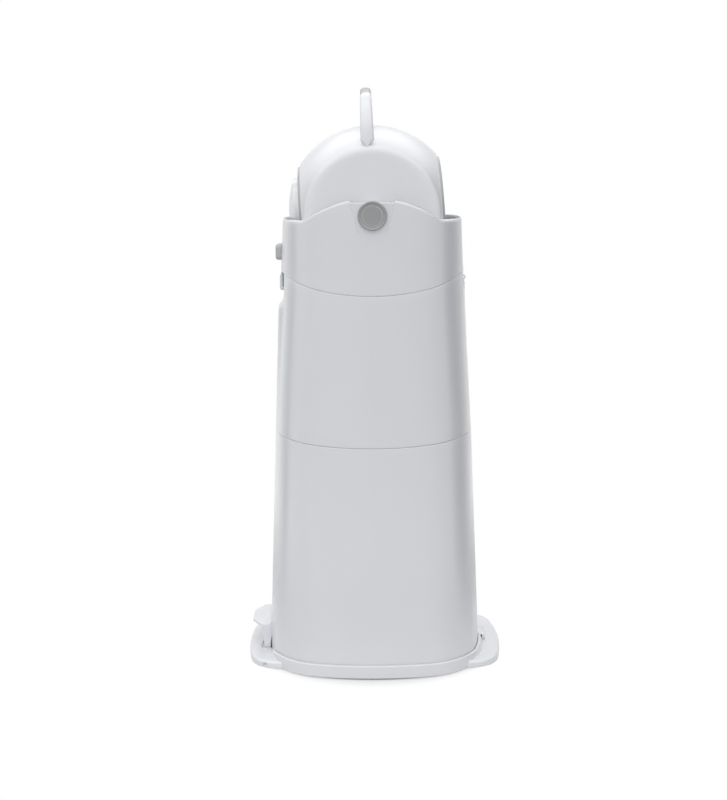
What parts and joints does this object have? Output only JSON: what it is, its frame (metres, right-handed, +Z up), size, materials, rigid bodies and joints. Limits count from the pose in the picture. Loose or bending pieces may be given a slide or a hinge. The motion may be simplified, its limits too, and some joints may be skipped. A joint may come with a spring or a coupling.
{
  "type": "nappy bin",
  "caption": "Tall drum nappy bin: a flip-over barrel with a sliding piston under an arched handle, a hinged head, a tapered body and a lobed base with a foot catch.",
  "frame": {"origin": "bottom centre of the base, on the floor", "axes": "+Z up; the front, with the release button and the foot catch, faces -Y; the drum turns about an axis along X"},
  "size_m": [0.27, 0.314, 0.7006],
  "materials": {
    "white_plastic": "glossy white moulded plastic",
    "liner_plastic": "satin pale grey moulded plastic",
    "grey_plastic": "satin mid grey moulded plastic",
    "rim_plastic": "satin grey moulded plastic",
    "seal_rubber": "soft grey seal rubber",
    "foot_rubber": "dark non-slip rubber",
    "steel": "bright steel wire and pins"
  },
  "bodies": {
    "bin": {"base_plate": "white_plastic", "base_foot_1": "foot_rubber", "base_foot_2": "foot_rubber", "base_foot_3": "foot_rubber", "base_foot_4": "foot_rubber", "base_foot_5": "foot_rubber", "base_foot_6": "foot_rubber", "catch_pin": "steel", "catch_spring": "steel", "lower_bucket": "white_plastic", "middle_section": "white_plastic", "bag_ring": "liner_plastic", "hinge_bracket": "white_plastic", "bracket_screw_1": "steel", "bracket_screw_2": "steel", "hinge_pin": "steel"},
    "catch": {"foot_catch": "white_plastic"},
    "head": {"head_housing": "white_plastic", "drum_cradle": "liner_plastic", "drum_seal": "seal_rubber", "cradle_screw_1": "steel", "cradle_screw_2": "steel", "cradle_screw_3": "steel", "cradle_screw_4": "steel", "side_keeper_left": "white_plastic", "side_keeper_right": "white_plastic", "pivot_badge_left": "grey_plastic", "pivot_badge_right": "grey_plastic", "latch_pin": "steel", "latch_spring": "steel"},
    "latch": {"latch_lever": "grey_plastic", "release_button": "grey_plastic"},
    "drum": {"drum_casing": "white_plastic", "chamber_tube": "liner_plastic", "chamber_rim_front": "rim_plastic", "chamber_rim_rear": "rim_plastic", "trunnion_left": "liner_plastic", "trunnion_right": "liner_plastic", "handle": "white_plastic", "handle_screw_1": "steel", "handle_screw_2": "steel"},
    "piston": {"piston_body": "liner_plastic", "piston_face_front": "white_plastic", "piston_face_rear": "white_plastic", "piston_weight": "steel", "piston_wiper_front": "seal_rubber", "piston_wiper_rear": "seal_rubber"}
  },
  "joints": [
    {"name": "drum_flip", "type": "hinge", "parent": "head", "child": "drum", "pos_m": [0, 0, 0.5495], "axis": [1, 0, 0], "range_deg": [-90, 84]},
    {"name": "piston_slide", "type": "slide", "parent": "drum", "child": "piston", "axis": [0, 0.9976, 0.0698], "range_m": [0, 0.1274]},
    {"name": "head_hinge", "type": "hinge", "parent": "bin", "child": "head", "pos_m": [0, 0.1106, 0.472], "axis": [-1, 0, 0], "range_deg": [0, 95]},
    {"name": "latch_rocker", "type": "hinge", "parent": "head", "child": "latch", "pos_m": [0, -0.1035, 0.488], "axis": [-1, 0, 0], "range_deg": [0, 9], "stiffness_Nm_per_rad": 0.2, "springref_deg": -14.32},
    {"name": "catch_hinge", "type": "hinge", "parent": "bin", "child": "catch", "pos_m": [0, -0.134, 0.0055], "axis": [1, 0, 0], "range_deg": [0, 18], "stiffness_Nm_per_rad": 0.5, "springref_deg": -11.46}
  ]
}
